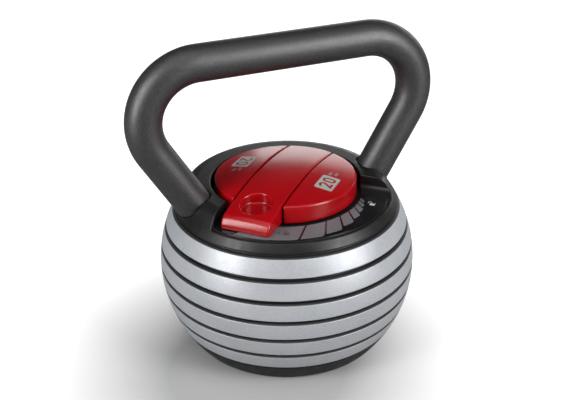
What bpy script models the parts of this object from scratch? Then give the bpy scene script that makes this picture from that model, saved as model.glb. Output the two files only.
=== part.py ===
"""Adjustable kettlebell: a stack of six dished iron plates between a base and a handle unit.

Turning the red lever turns a long shaft inside the ball. Its cross-bars lie under a flange
in each plate, and come into line with the flanges' slots a quarter turn away, where the
handle unit lifts off. Metres, +Z up. The origin is the bottom centre of the ball, and the
handle lies in the XZ plane.
"""
import math

import bmesh
import bpy
from mathutils import Matrix, Vector

GAP = 0.0003          # between pieces that touch
OVERCUT = 0.0010      # how far a cutter passes its work

# Ball
BALL_RADIUS = 0.1175
BALL_CENTRE_Z = 0.0760

# Weight plates
PLATE_COUNT = 6
PLATE_PITCH = 0.0188
FIRST_PLATE_Z = 0.0218
BAND_HEIGHT = 0.0148
GROOVE_DEPTH = 0.0060
RIM_THICKNESS = 0.0018
WEB_THICKNESS = 0.0012
EDGE_CHAMFER = 0.0007
HUB_RADIUS = 0.0300
HUB_BORE = 0.0250
FLANGE_THICKNESS = 0.0030
SHAFT_BORE = 0.0127
SLOT_LENGTH = 0.0450
SLOT_WIDTH = 0.0195
KEY_SIZE = (0.0030, 0.0060, 0.0020)
PLATE_SEGMENTS = 28

# Lock shaft
SHAFT_RADIUS = 0.0120
SHAFT_BOTTOM_Z = 0.0060
SHAFT_SHOULDER_Z = 0.1404
SHAFT_SQUARE = 0.0160
SHAFT_TOP_Z = 0.1452
LUG_SIZE = (0.0400, 0.0180, 0.0040)

# Base
TRAY_BOTTOM_Z = 0.0010
TRAY_TOP_Z = 0.0215
TRAY_FLOOR_Z = 0.0045
TRAY_WALL = 0.0040
TRAY_BOSS_BORE = 0.0240
TRAY_BOSS_RADIUS = 0.0345
TRAY_BOSS_TOP_Z = 0.0137
LOCK_PLATE_TOP_Z = 0.0180
FOOT_INNER_RADIUS = 0.0700
FOOT_OUTER_RADIUS = 0.0860
FOOT_HEIGHT = 0.0025
BASE_SCREW_CIRCLE = 0.0292
BASE_SCREW_TIP_Z = 0.0070

# Top cover and chassis
CHASSIS_Z = 0.1347
CHASSIS_THICKNESS = 0.0028
CHASSIS_RADIUS = 0.0962
COVER_BOTTOM_Z = 0.1346
FLOOR_UNDERSIDE_Z = 0.1386
FLOOR_Z = 0.1415
WELL_FLOOR_Z = 0.1421
CREST_Z = 0.1555
RECESS_RADIUS = 0.0678
FLOOR_BORE = 0.0500
WELL_OFFSET = 0.0300
COVER_SEGMENTS = 40
CORE_INNER_RADIUS = 0.0715
CORE_OUTER_RADIUS = 0.0860
CORE_ANGLES = (math.radians(25), math.radians(155))
COVER_SCREW_CIRCLE = 0.0800
COVER_POST_ANGLES = (math.radians(40), math.radians(80), math.radians(120))
WELL_SCREW_ANGLE = math.radians(-95)
POST_SCREW_TIP_Z = 0.1470
WELL_SCREW_TIP_Z = 0.1408

# Dial
LOCK_ANGLE = math.radians(-136.0)
DIAL_RADIUS = 0.0642
DIAL_TOP_Z = 0.1653
DIAL_DROP = 0.0065
CROWN_REACH = 0.0900
CROWN_STEPS = 6
SKIRT_Z = 0.1432
SHELL_THICKNESS = 0.0026
GROOVE_CENTRE = 0.0224
GROOVE_WIDTH = 0.0015
ARM_LENGTH = 0.0870
ARM_HOLLOW_END = 0.0420
FINGER_CENTRE = 0.0620
FINGER_RADIUS = 0.0143
FINGER_FLOOR_Z = 0.1512
CARRIER_RADIUS = 0.0602
CARRIER_Z = 0.1458
CARRIER_THICKNESS = 0.0022
HUB_FLANGE_RADIUS = 0.0200
DIAL_CUTTERS = ("lever_bar", "dial_", "finger_hole", "carrier_", "hub_bore")
POST_RADIUS = 0.0040
DIAL_SCREW_TIP_Z = 0.1550
SHAFT_BOLT_TIP_Z = 0.1275
SHAFT_BOLT_RADIUS = 0.0040

# Screws
SCREW_RADIUS = 0.0015
SCREW_HEAD_RADIUS = 0.0030
SCREW_HEAD_HEIGHT = 0.0018
SCREW_HOLE_RADIUS = 0.0018
ANCHOR_BOLT_X = 0.0870
ANCHOR_BOLT_Y = 0.0055
ANCHOR_BOLT_TIP_Z = 0.1560
ANCHOR_BOLT_RADIUS = 0.0022
ANCHOR_BOLT_HEAD_RADIUS = 0.0044
ANCHOR_BOLT_HEAD_HEIGHT = 0.0020
ANCHOR_HOLE_RADIUS = 0.0026
ANCHOR_SEAT_Z = CHASSIS_Z + ANCHOR_BOLT_HEAD_HEIGHT
COVER_SCREW_SEAT_Z = CHASSIS_Z + SCREW_HEAD_HEIGHT + GAP

# Handle
TUBE_RADIUS = 0.0160
TUBE_BORE = 0.0138
FOOT_X = 0.0874
FOOT_Z = 0.1474
LEG_ANGLE = math.radians(30.9)
BEND_START_X = 0.1198
BEND_RADIUS = 0.0493
LOWER_BEND_STEPS = 3
UPPER_BEND_STEPS = 7
TUBE_RESOLUTION = 4
SPIGOT_RADIUS = 0.0130
SPIGOT_INSERT = 0.0280
SPIGOT_REACH = 0.0300
PAD_RADIUS = 0.0171
PAD_DEPTH = 0.0140
FOOT_ROOM = 0.0013


def clear_scene():
    """Remove every object and mesh that a new file holds."""
    for thing in list(bpy.data.objects):
        bpy.data.objects.remove(thing, do_unlink=True)
    for mesh in list(bpy.data.meshes):
        bpy.data.meshes.remove(mesh)


def new_collection(name):
    group = bpy.data.collections.new(name)
    bpy.context.scene.collection.children.link(group)
    return group


def new_material(name, colour, roughness, metallic):
    """A Principled BSDF of one colour."""
    surface = bpy.data.materials.new(name)
    surface.use_nodes = True
    shader = surface.node_tree.nodes["Principled BSDF"]
    shader.inputs["Base Color"].default_value = (*colour, 1.0)
    shader.inputs["Roughness"].default_value = roughness
    shader.inputs["Metallic"].default_value = metallic
    surface.diffuse_color = (*colour, 1.0)
    return surface


clear_scene()
PARTS = new_collection("adjustable_kettlebell")
CUTTERS = new_collection("cutters")

SILVER_IRON = new_material("silver_painted_iron", (0.48, 0.49, 0.50), 0.38, 0.85)
GRIP_BLACK = new_material("textured_black_steel", (0.045, 0.044, 0.048), 0.45, 0.50)
COVER_BLACK = new_material("satin_black_plastic", (0.016, 0.016, 0.017), 0.38, 0.0)
DIAL_RED = new_material("red_plastic", (0.42, 0.008, 0.012), 0.28, 0.0)
STEEL = new_material("zinc_plated_steel", (0.55, 0.56, 0.58), 0.35, 1.0)
BLACK_RUBBER = new_material("black_rubber", (0.02, 0.02, 0.02), 0.80, 0.0)


def sphere_radius(height):
    """Radius of the ball at a height."""
    return math.sqrt(BALL_RADIUS ** 2 - (height - BALL_CENTRE_Z) ** 2)


def dome_height(radius):
    """Height of the dial's crowned top at a distance from its axis."""
    return DIAL_TOP_Z - DIAL_DROP * (radius / DIAL_RADIUS) ** 2


def add_object(name, mesh, surface=None):
    """Put a mesh in the parts, or in the cutters when it has no surface."""
    thing = bpy.data.objects.new(name, mesh)
    if surface is None:
        CUTTERS.objects.link(thing)
        thing.hide_render = True
        thing.display_type = "WIRE"
    else:
        PARTS.objects.link(thing)
        mesh.materials.append(surface)
    return thing


def turned(name, profile, segments, surface=None, closed=True):
    """A Screw modifier on a profile that runs down its outer side, top to bottom."""
    mesh = bpy.data.meshes.new(name)
    corners = [(radius, 0.0, height) for radius, height in profile]
    edges = [(i, i + 1) for i in range(len(corners) - 1)]
    if closed:
        edges.append((len(corners) - 1, 0))
    mesh.from_pydata(corners, edges, [])
    thing = add_object(name, mesh, surface)
    screw = thing.modifiers.new("turn", "SCREW")
    screw.angle = math.tau
    screw.axis = "Z"
    screw.steps = segments
    screw.render_steps = segments
    screw.use_merge_vertices = True
    screw.merge_threshold = 0.00001
    screw.use_smooth_shade = False
    return thing


def cylinder(name, radius, bottom, top, segments=16, surface=None, centre=(0.0, 0.0)):
    """A closed upright cylinder."""
    mesh = bpy.data.meshes.new(name)
    shape = bmesh.new()
    place = Matrix.Translation((centre[0], centre[1], (bottom + top) / 2))
    bmesh.ops.create_cone(shape, cap_ends=True, segments=segments, radius1=radius,
                          radius2=radius, depth=top - bottom, matrix=place)
    shape.to_mesh(mesh)
    shape.free()
    return add_object(name, mesh, surface)


def box(name, low, high, surface=None):
    """A closed box between two corners."""
    mesh = bpy.data.meshes.new(name)
    shape = bmesh.new()
    middle = (Vector(low) + Vector(high)) / 2
    size = Vector(high) - Vector(low)
    place = Matrix.Translation(middle) @ Matrix.Diagonal((*size, 1.0))
    bmesh.ops.create_cube(shape, size=1.0, matrix=place)
    shape.to_mesh(mesh)
    shape.free()
    return add_object(name, mesh, surface)


def mesh_from_curve(name, curve, surface=None):
    """Turn a curve into a welded mesh object, so that it can be cut and can cut."""
    guide = bpy.data.objects.new(name + "_curve", curve)
    CUTTERS.objects.link(guide)
    bpy.context.view_layer.update()
    graph = bpy.context.evaluated_depsgraph_get()
    mesh = bpy.data.meshes.new_from_object(guide.evaluated_get(graph))
    shape = bmesh.new()
    shape.from_mesh(mesh)
    bmesh.ops.remove_doubles(shape, verts=shape.verts, dist=0.00001)
    bmesh.ops.recalc_face_normals(shape, faces=shape.faces)
    shape.to_mesh(mesh)
    shape.free()
    mesh.name = name
    mesh.materials.clear()
    placed = guide.matrix_world.copy()
    bpy.data.objects.remove(guide, do_unlink=True)
    thing = add_object(name, mesh, surface)
    thing.matrix_world = placed
    return thing


def outline_solid(name, outline, bottom, top, surface=None):
    """A flat outline, filled and extruded between two heights."""
    curve = bpy.data.curves.new(name, "CURVE")
    curve.dimensions = "2D"
    curve.fill_mode = "BOTH"
    curve.extrude = (top - bottom) / 2
    spline = curve.splines.new("POLY")
    spline.points.add(len(outline) - 1)
    for point, (x, y) in zip(spline.points, outline):
        point.co = (x, y, 0.0, 1.0)
    spline.use_cyclic_u = True
    thing = mesh_from_curve(name, curve, surface)
    thing.data.transform(Matrix.Translation((0.0, 0.0, (bottom + top) / 2)))
    return thing


def swept(name, route, radius, surface=None):
    """A round bar of one radius along a route."""
    curve = bpy.data.curves.new(name, "CURVE")
    curve.dimensions = "3D"
    curve.bevel_depth = radius
    curve.bevel_resolution = TUBE_RESOLUTION
    curve.use_fill_caps = True
    spline = curve.splines.new("POLY")
    spline.points.add(len(route) - 1)
    for point, place in zip(spline.points, route):
        point.co = (*place, 1.0)
    return mesh_from_curve(name, curve, surface)


def combine(thing, operation, *others):
    """Boolean each of the others into a thing, in order."""
    for other in others:
        step = thing.modifiers.new(operation.lower(), "BOOLEAN")
        step.operation = operation
        step.solver = "EXACT"
        step.object = other
    return thing


def turn_to(angle, *things):
    """Turn things about the ball's axis."""
    for thing in things:
        thing.rotation_euler.z = angle


def arc(radius, start, end, steps):
    """Points of an arc about the ball's axis, ends included."""
    turns = [start + (end - start) * i / steps for i in range(steps + 1)]
    return [(radius * math.cos(turn), radius * math.sin(turn)) for turn in turns]


def around(angle, radius):
    return (radius * math.cos(angle), radius * math.sin(angle))


def everything_below(name, height):
    """A cutter that takes away what is lower than a height."""
    reach = 2 * BALL_RADIUS
    return box(name, (-reach, -reach, 0.0), (reach, reach, height))


# Weight plates

def plate_profile(bottom):
    """Dish with a rim, a web at its floor, and a hub whose top flange the cross-bar holds."""
    band_top = bottom + BAND_HEIGHT
    top = bottom + PLATE_PITCH - GAP
    upper = sphere_radius(band_top)
    lower = sphere_radius(bottom)
    neck = min(upper, lower) - GROOVE_DEPTH
    return [
        (neck, top),
        (neck, band_top),
        (upper - EDGE_CHAMFER, band_top),
        (upper, band_top - EDGE_CHAMFER),
        (lower, bottom + EDGE_CHAMFER),
        (lower - EDGE_CHAMFER, bottom),
        (HUB_BORE, bottom),
        (HUB_BORE, top - FLANGE_THICKNESS),
        (SHAFT_BORE, top - FLANGE_THICKNESS),
        (SHAFT_BORE, top),
        (HUB_RADIUS, top),
        (HUB_RADIUS, bottom + WEB_THICKNESS),
        (neck - RIM_THICKNESS, bottom + WEB_THICKNESS),
        (neck - RIM_THICKNESS, top),
    ]


def slot_cutter(name, bottom, top):
    """The way through a flange for the shaft's cross-bar, at the unlocked angle."""
    half = (SLOT_LENGTH / 2, SLOT_WIDTH / 2)
    cutter = box(name, (-half[0], -half[1], bottom), (half[0], half[1], top))
    turn_to(LOCK_ANGLE + math.pi / 2, cutter)
    return cutter


def key_block(name, bottom, height, spare):
    """The key that stops one plate turning on the next, or with spare room its notch."""
    depth, width, _ = KEY_SIZE
    middle = (HUB_BORE + HUB_RADIUS) / 2
    low = (middle - depth / 2 - spare, -width / 2 - spare, bottom)
    high = (middle + depth / 2 + spare, width / 2 + spare, bottom + height)
    block = box(name, low, high)
    turn_to(LOCK_ANGLE, block)
    return block


def weight_plate(number):
    """Plates are numbered from the top, so plate 6 is the lowest."""
    bottom = FIRST_PLATE_Z + (PLATE_COUNT - number) * PLATE_PITCH
    top = bottom + PLATE_PITCH - GAP
    name = f"weight_plate_{number}"
    plate = turned(name, plate_profile(bottom), PLATE_SEGMENTS, SILVER_IRON)
    notch = key_block(name + "_notch", bottom - OVERCUT, OVERCUT + KEY_SIZE[2] + GAP, GAP)
    slot = slot_cutter(name + "_slot", top - FLANGE_THICKNESS - OVERCUT, top + OVERCUT)
    combine(plate, "DIFFERENCE", slot, notch)
    if number > 1:
        key = key_block(name + "_key", top - OVERCUT, OVERCUT + KEY_SIZE[2], 0.0)
        combine(plate, "UNION", key)
    return plate


# Base

def base_tray():
    """Moulded dish that carries the stack and the lock plate."""
    outer_top = sphere_radius(TRAY_TOP_Z)
    heights = [TRAY_TOP_Z, 0.0150, 0.0080, TRAY_BOTTOM_Z + 0.0010]
    outside = [(sphere_radius(height), height) for height in heights]
    foot_top = FOOT_HEIGHT + GAP
    profile = [
        (0.0, TRAY_FLOOR_Z),
        (TRAY_BOSS_BORE, TRAY_FLOOR_Z),
        (TRAY_BOSS_BORE, TRAY_BOSS_TOP_Z),
        (TRAY_BOSS_RADIUS, TRAY_BOSS_TOP_Z),
        (TRAY_BOSS_RADIUS, TRAY_FLOOR_Z),
        (outside[-1][0] - 2 * TRAY_WALL, TRAY_FLOOR_Z),
        (outer_top - TRAY_WALL, TRAY_TOP_Z),
        *outside,
        (outside[-1][0] - 0.0012, TRAY_BOTTOM_Z),
        (FOOT_OUTER_RADIUS, TRAY_BOTTOM_Z),
        (FOOT_OUTER_RADIUS, foot_top),
        (FOOT_INNER_RADIUS, foot_top),
        (FOOT_INNER_RADIUS, TRAY_BOTTOM_Z),
        (0.0, TRAY_BOTTOM_Z),
    ]
    tray = turned("base_tray", profile, PLATE_SEGMENTS, COVER_BLACK, closed=False)
    for number, place in enumerate(base_screw_places(), start=1):
        hole = cylinder(f"tray_hole_{number}", SCREW_HOLE_RADIUS, BASE_SCREW_TIP_Z - OVERCUT,
                        TRAY_BOSS_TOP_Z + OVERCUT, 8, centre=place)
        combine(tray, "DIFFERENCE", hole)
    return tray


def base_screw_places():
    turns = [LOCK_ANGLE + math.radians(45 + 90 * quarter) for quarter in range(4)]
    return [around(turn, BASE_SCREW_CIRCLE) for turn in turns]


def base_lock_plate():
    """Steel disc whose slot holds the shaft's lowest cross-bar."""
    bottom = TRAY_BOSS_TOP_Z + GAP
    below = bottom - OVERCUT
    above = LOCK_PLATE_TOP_Z + OVERCUT
    plate = cylinder("base_lock_plate", TRAY_BOSS_RADIUS, bottom, LOCK_PLATE_TOP_Z, 24, STEEL)
    bore = cylinder("lock_plate_bore", SHAFT_BORE, below, above, 24)
    slot = slot_cutter("lock_plate_slot", below, above)
    combine(plate, "DIFFERENCE", bore, slot)
    for number, place in enumerate(base_screw_places(), start=1):
        hole = cylinder(f"lock_plate_hole_{number}", SCREW_HOLE_RADIUS, below, above, 8, centre=place)
        combine(plate, "DIFFERENCE", hole)
    return plate


def screw(name, place, tip, seat, shank, head_radius, head_height, surface=STEEL):
    """A turned screw with its head above the seat, or below it for a negative height."""
    top = seat + head_height
    profile = [
        (0.0, top),
        (head_radius, top),
        (head_radius, seat),
        (shank, seat),
        (shank, tip),
        (0.0, tip),
    ]
    if head_height < 0:
        profile.reverse()
    thing = turned(name, profile, 8, surface, closed=False)
    thing.location = (place[0], place[1], 0.0)
    return thing


def foot_ring():
    """Rubber ring that the bell stands on."""
    inner = FOOT_INNER_RADIUS + GAP
    outer = FOOT_OUTER_RADIUS - GAP
    profile = [(inner, FOOT_HEIGHT), (outer, FOOT_HEIGHT), (outer, 0.0), (inner, 0.0)]
    return turned("foot_ring", profile, PLATE_SEGMENTS, BLACK_RUBBER)


def make_base():
    base_tray()
    base_lock_plate()
    foot_ring()
    for number, place in enumerate(base_screw_places(), start=1):
        screw(f"base_screw_{number}", place, BASE_SCREW_TIP_Z, LOCK_PLATE_TOP_Z + GAP,
              SCREW_RADIUS, SCREW_HEAD_RADIUS, SCREW_HEAD_HEIGHT)


# Lock shaft

def lug_top(plate_number):
    """Top of the cross-bar under a plate's flange; number 7 is the base's."""
    if plate_number > PLATE_COUNT:
        return TRAY_BOSS_TOP_Z
    bottom = FIRST_PLATE_Z + (PLATE_COUNT - plate_number) * PLATE_PITCH
    return bottom + PLATE_PITCH - GAP - FLANGE_THICKNESS - GAP


def lock_shaft():
    """Shaft with one cross-bar for each plate and one for the base."""
    shaft = cylinder("lock_shaft", SHAFT_RADIUS, SHAFT_BOTTOM_Z, SHAFT_SHOULDER_Z, 20, STEEL)
    half = Vector(LUG_SIZE) / 2
    for number in range(1, PLATE_COUNT + 2):
        top = lug_top(number)
        lug = box(f"lug_{number}", (-half.x, -half.y, top - LUG_SIZE[2]), (half.x, half.y, top))
        turn_to(LOCK_ANGLE, lug)
        combine(shaft, "UNION", lug)
    side = SHAFT_SQUARE / 2
    shoulder = SHAFT_SHOULDER_Z - OVERCUT
    square = box("shaft_square", (-side, -side, shoulder), (side, side, SHAFT_TOP_Z))
    turn_to(LOCK_ANGLE, square)
    bolt_hole = cylinder("shaft_bolt_hole", SHAFT_BOLT_RADIUS + GAP, SHAFT_BOLT_TIP_Z - OVERCUT,
                         SHAFT_TOP_Z + OVERCUT, 12)
    combine(shaft, "UNION", square)
    combine(shaft, "DIFFERENCE", bolt_hole)
    return shaft


# Handle

def leg_point(side, along):
    """A point on a leg's axis, measured up from the foot."""
    run = Vector((side * math.sin(LEG_ANGLE), 0.0, math.cos(LEG_ANGLE)))
    return Vector((side * FOOT_X, 0.0, FOOT_Z)) + run * along


def handle_route(overrun=0.0):
    """Centreline from foot to foot: leg, bend, top bar, bend and leg."""
    leg_length = (BEND_START_X - FOOT_X) / math.sin(LEG_ANGLE)
    start = leg_point(1, leg_length)
    inward = Vector((-math.cos(LEG_ANGLE), 0.0, math.sin(LEG_ANGLE)))
    centre = start + inward * BEND_RADIUS
    lower = [-LEG_ANGLE * (1 - step / LOWER_BEND_STEPS) for step in range(LOWER_BEND_STEPS)]
    upper = [math.pi / 2 * step / UPPER_BEND_STEPS for step in range(UPPER_BEND_STEPS + 1)]
    right = [leg_point(1, -overrun)]
    for turn in lower + upper:
        right.append(centre + BEND_RADIUS * Vector((math.cos(turn), 0.0, math.sin(turn))))
    left = [Vector((-point.x, 0.0, point.z)) for point in reversed(right)]
    return right + left


def handle_tube():
    """Bent round tube with square-cut ends."""
    tube = swept("handle_tube", handle_route(), TUBE_RADIUS, GRIP_BLACK)
    bore = swept("tube_bore", handle_route(overrun=0.005), TUBE_BORE)
    return combine(tube, "DIFFERENCE", bore)


def anchor_bolt_places(side):
    return [(side * ANCHOR_BOLT_X, y) for y in (-ANCHOR_BOLT_Y, ANCHOR_BOLT_Y)]


def leg_anchor(side, name):
    """Solid spigot inside the tube's foot, cut flat where it stands on the chassis."""
    route = [leg_point(side, -SPIGOT_REACH), leg_point(side, SPIGOT_INSERT)]
    anchor = swept("leg_anchor_" + name, route, SPIGOT_RADIUS, STEEL)
    seat = CHASSIS_Z + CHASSIS_THICKNESS + GAP
    combine(anchor, "DIFFERENCE", everything_below(name + "_anchor_seat", seat))
    for number, place in enumerate(anchor_bolt_places(side), start=1):
        hole = cylinder(f"{name}_anchor_hole_{number}", ANCHOR_HOLE_RADIUS, seat - OVERCUT,
                        ANCHOR_BOLT_TIP_Z + OVERCUT, 8, centre=place)
        combine(anchor, "DIFFERENCE", hole)
    return anchor


def make_handle():
    handle_tube()
    for side, name in ((-1, "left"), (1, "right")):
        leg_anchor(side, name)
        for number, place in enumerate(anchor_bolt_places(side), start=1):
            screw(f"anchor_bolt_{name}_{number}", place, ANCHOR_BOLT_TIP_Z, ANCHOR_SEAT_Z - GAP,
                  ANCHOR_BOLT_RADIUS, ANCHOR_BOLT_HEAD_RADIUS, -ANCHOR_BOLT_HEAD_HEIGHT)


# Chassis and top cover

def cover_screw_places():
    """Three screws into the posts in the crest, and one under the lever's well."""
    turns = [*COVER_POST_ANGLES, WELL_SCREW_ANGLE]
    return [around(turn, COVER_SCREW_CIRCLE) for turn in turns]


def cover_screw_tip(number):
    return POST_SCREW_TIP_Z if number <= len(COVER_POST_ANGLES) else WELL_SCREW_TIP_Z


def chassis_plate():
    """Steel disc that the handle, the cover and the dial are built on."""
    top = CHASSIS_Z + CHASSIS_THICKNESS
    plate = cylinder("chassis_plate", CHASSIS_RADIUS, CHASSIS_Z, top, 32, STEEL)
    below = CHASSIS_Z - OVERCUT
    above = top + OVERCUT
    combine(plate, "DIFFERENCE", cylinder("chassis_bore", SHAFT_BORE, below, above, 24))
    for number, place in enumerate(cover_screw_places(), start=1):
        hole = cylinder(f"chassis_hole_{number}", SCREW_HOLE_RADIUS, below, above, 8, centre=place)
        recess = cylinder(f"chassis_recess_{number}", SCREW_HEAD_RADIUS + GAP, below,
                          COVER_SCREW_SEAT_Z, 8, centre=place)
        combine(plate, "DIFFERENCE", hole, recess)
    for side in (-1, 1):
        for number, place in enumerate(anchor_bolt_places(side), start=1):
            label = f"{side}_{number}"
            hole = cylinder("anchor_way_" + label, ANCHOR_HOLE_RADIUS, below, above, 8, centre=place)
            recess = cylinder("anchor_sink_" + label, ANCHOR_BOLT_HEAD_RADIUS + GAP, below,
                              ANCHOR_SEAT_Z, 8, centre=place)
            combine(plate, "DIFFERENCE", hole, recess)
    return plate


def cover_profile():
    """Section of the cover: outer dome, crest, dial recess, floor and skirt."""
    dome = [(sphere_radius(z), z) for z in (0.1530, 0.1475, 0.1411, COVER_BOTTOM_Z)]
    return [
        (RECESS_RADIUS + 0.0006, CREST_Z),
        (0.0820, CREST_Z),
        (0.0862, 0.1548),
        *dome,
        (CHASSIS_RADIUS + 0.0006, COVER_BOTTOM_Z),
        (CHASSIS_RADIUS + 0.0006, FLOOR_UNDERSIDE_Z),
        (FLOOR_BORE, FLOOR_UNDERSIDE_Z),
        (FLOOR_BORE, FLOOR_Z),
        (RECESS_RADIUS, FLOOR_Z),
        (RECESS_RADIUS, CREST_Z - 0.0006),
    ]


def crest_core():
    """What cores out the crest from below, round the posts for the cover's screws."""
    start, end = CORE_ANGLES
    steps = 13
    inner = arc(CORE_INNER_RADIUS, end, start, steps)
    outer = arc(CORE_OUTER_RADIUS, start, end, steps)
    bottom = FLOOR_UNDERSIDE_Z - OVERCUT
    core = outline_solid("crest_core", outer + inner, bottom, CREST_Z - 0.0030)
    for number, place in enumerate(cover_screw_places()[:-1], start=1):
        post = cylinder(f"crest_post_{number}", 0.0045, bottom - OVERCUT, CREST_Z, 10, centre=place)
        combine(core, "DIFFERENCE", post)
    return core


def leg_pad(side, name):
    """Pad in the cover that a tube foot stands over."""
    pad = swept(name + "_pad", [leg_point(side, -PAD_DEPTH), leg_point(side, -2 * GAP)], PAD_RADIUS)
    floor = everything_below(name + "_pad_floor", FLOOR_UNDERSIDE_Z)
    return combine(pad, "DIFFERENCE", floor)


def leg_room(side, name):
    """Cutters for the tube's foot and for the spigot under it."""
    foot = swept(name + "_foot_room", [leg_point(side, -GAP), leg_point(side, SPIGOT_INSERT)],
                 TUBE_RADIUS + FOOT_ROOM)
    spigot = swept(name + "_spigot_room", [leg_point(side, -SPIGOT_REACH), leg_point(side, PAD_DEPTH)],
                   SPIGOT_RADIUS + 2 * GAP)
    return foot, spigot


def top_cover():
    """Moulded cover with the dial recess, the lever's well and a pad under each leg."""
    cover = turned("top_cover", cover_profile(), COVER_SEGMENTS, COVER_BLACK)
    combine(cover, "DIFFERENCE", crest_core())
    for side, name in ((-1, "left"), (1, "right")):
        combine(cover, "UNION", leg_pad(side, name))
        combine(cover, "DIFFERENCE", *leg_room(side, name))
    reach = BALL_RADIUS
    well = box("lever_well", (-WELL_OFFSET, -WELL_OFFSET, WELL_FLOOR_Z), (reach, reach, DIAL_TOP_Z))
    turn_to(LOCK_ANGLE, well)
    combine(cover, "DIFFERENCE", well)
    for number, place in enumerate(cover_screw_places(), start=1):
        hole = cylinder(f"cover_hole_{number}", SCREW_HOLE_RADIUS, CHASSIS_Z,
                        cover_screw_tip(number) + GAP, 8, centre=place)
        combine(cover, "DIFFERENCE", hole)
    return cover


def make_cover():
    chassis_plate()
    top_cover()
    for number, place in enumerate(cover_screw_places(), start=1):
        screw(f"cover_screw_{number}", place, cover_screw_tip(number), COVER_SCREW_SEAT_Z - GAP,
              SCREW_RADIUS, SCREW_HEAD_RADIUS, -SCREW_HEAD_HEIGHT)


# Dial

def crowned_solid(name, inset, bottom, surface=None):
    """Solid under the crowned top, out past the lever's nose, set in by an inset."""
    radii = [CROWN_REACH * step / CROWN_STEPS for step in range(CROWN_STEPS + 1)]
    top = [(radius, dome_height(radius) - inset) for radius in radii]
    profile = [*top, (CROWN_REACH, bottom), (0.0, bottom)]
    return turned(name, profile, COVER_SEGMENTS, surface, closed=False)


def strip_outline(half_width, back_radius, front, steps=8):
    """The lever's outline: a strip with a round back end and a square front."""
    reach = math.asin(half_width / back_radius)
    back = arc(back_radius, math.pi - reach, math.pi + reach, steps)
    return [(front, half_width), *back, (front, -half_width)]


def segment_outline(side, chord, radius, steps=14):
    """A D shape: what a chord cuts off a circle, on one side."""
    reach = math.acos(chord / radius)
    middle = side * math.pi / 2
    return arc(radius, middle - reach, middle + reach, steps)


def post_places(side):
    """Screw posts under a dial segment, or under the lever for side 0."""
    if side == 0:
        return [(-0.0400, 0.0), (0.0330, 0.0)]
    return [(-0.0220, side * 0.0400), (0.0220, side * 0.0400)]


def dial_piece(name, outline, hollow_outline, posts):
    """A crowned shell with side walls and screw posts, open below."""
    above = DIAL_TOP_Z + OVERCUT
    below = SKIRT_Z - OVERCUT
    piece = crowned_solid(name, 0.0, SKIRT_Z, DIAL_RED)
    combine(piece, "INTERSECT", outline_solid(name + "_outline", outline, below, above))
    hollow = crowned_solid(name + "_hollow", SHELL_THICKNESS, below)
    inside = outline_solid(name + "_inside", hollow_outline, below - OVERCUT, above)
    combine(hollow, "INTERSECT", inside)
    for number, place in enumerate(posts, start=1):
        post = cylinder(f"{name}_post_{number}", POST_RADIUS, below - OVERCUT, above, 10, centre=place)
        combine(hollow, "DIFFERENCE", post)
    room = cylinder(name + "_carrier_room", CARRIER_RADIUS + 2 * GAP, below - OVERCUT,
                    CARRIER_Z + CARRIER_THICKNESS + GAP, 32)
    combine(piece, "DIFFERENCE", hollow, room)
    for number, place in enumerate(posts, start=1):
        hole = cylinder(f"{name}_hole_{number}", SCREW_HOLE_RADIUS, below,
                        DIAL_SCREW_TIP_Z + OVERCUT, 8, centre=place)
        combine(piece, "DIFFERENCE", hole)
    return piece


def lever_bar():
    """Centre bar of the dial, drawn out into the lever with its finger hole."""
    half = GROOVE_CENTRE - GROOVE_WIDTH / 2
    wall = SHELL_THICKNESS
    inside = strip_outline(half - wall, DIAL_RADIUS - wall, ARM_HOLLOW_END)
    outside = strip_outline(half, DIAL_RADIUS, ARM_LENGTH)
    bar = dial_piece("lever_bar", outside, inside, post_places(0))
    finger = cylinder("finger_hole", FINGER_RADIUS, FINGER_FLOOR_Z, DIAL_TOP_Z, 20,
                      centre=(FINGER_CENTRE, 0.0))
    return combine(bar, "DIFFERENCE", finger)


def dial_segment(side, name):
    """One of the two D-shaped dial covers beside the bar."""
    chord = GROOVE_CENTRE + GROOVE_WIDTH / 2
    wall = SHELL_THICKNESS
    inside = segment_outline(side, chord + wall, DIAL_RADIUS - wall)
    return dial_piece(name, segment_outline(side, chord, DIAL_RADIUS), inside, post_places(side))


def dial_carrier():
    """Disc under the dial that its three covers are screwed to."""
    top = CARRIER_Z + CARRIER_THICKNESS
    disc = cylinder("dial_carrier", CARRIER_RADIUS, CARRIER_Z, top, 32, COVER_BLACK)
    below = CARRIER_Z - OVERCUT
    above = top + OVERCUT
    bore = cylinder("carrier_bore", SHAFT_BOLT_RADIUS + GAP, below, above, 12)
    combine(disc, "DIFFERENCE", bore)
    for number, place in enumerate(dial_screw_places(), start=1):
        hole = cylinder(f"carrier_hole_{number}", SCREW_HOLE_RADIUS, below, above, 8, centre=place)
        combine(disc, "DIFFERENCE", hole)
    return disc


def dial_screw_places():
    return post_places(0) + post_places(-1) + post_places(1)


def drive_hub():
    """Flanged steel hub whose square bore turns the shaft."""
    bottom = SHAFT_SHOULDER_Z + GAP
    top = CARRIER_Z - GAP
    hub = cylinder("drive_hub", HUB_FLANGE_RADIUS, bottom, top, 24, STEEL)
    side = SHAFT_SQUARE / 2 + GAP
    bore = box("hub_bore", (-side, -side, bottom - OVERCUT), (side, side, top + OVERCUT))
    return combine(hub, "DIFFERENCE", bore)


def washer(name, inner, outer, bottom, top, segments=20):
    profile = [(inner, top), (outer, top), (outer, bottom), (inner, bottom)]
    return turned(name, profile, segments, STEEL)


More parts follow.
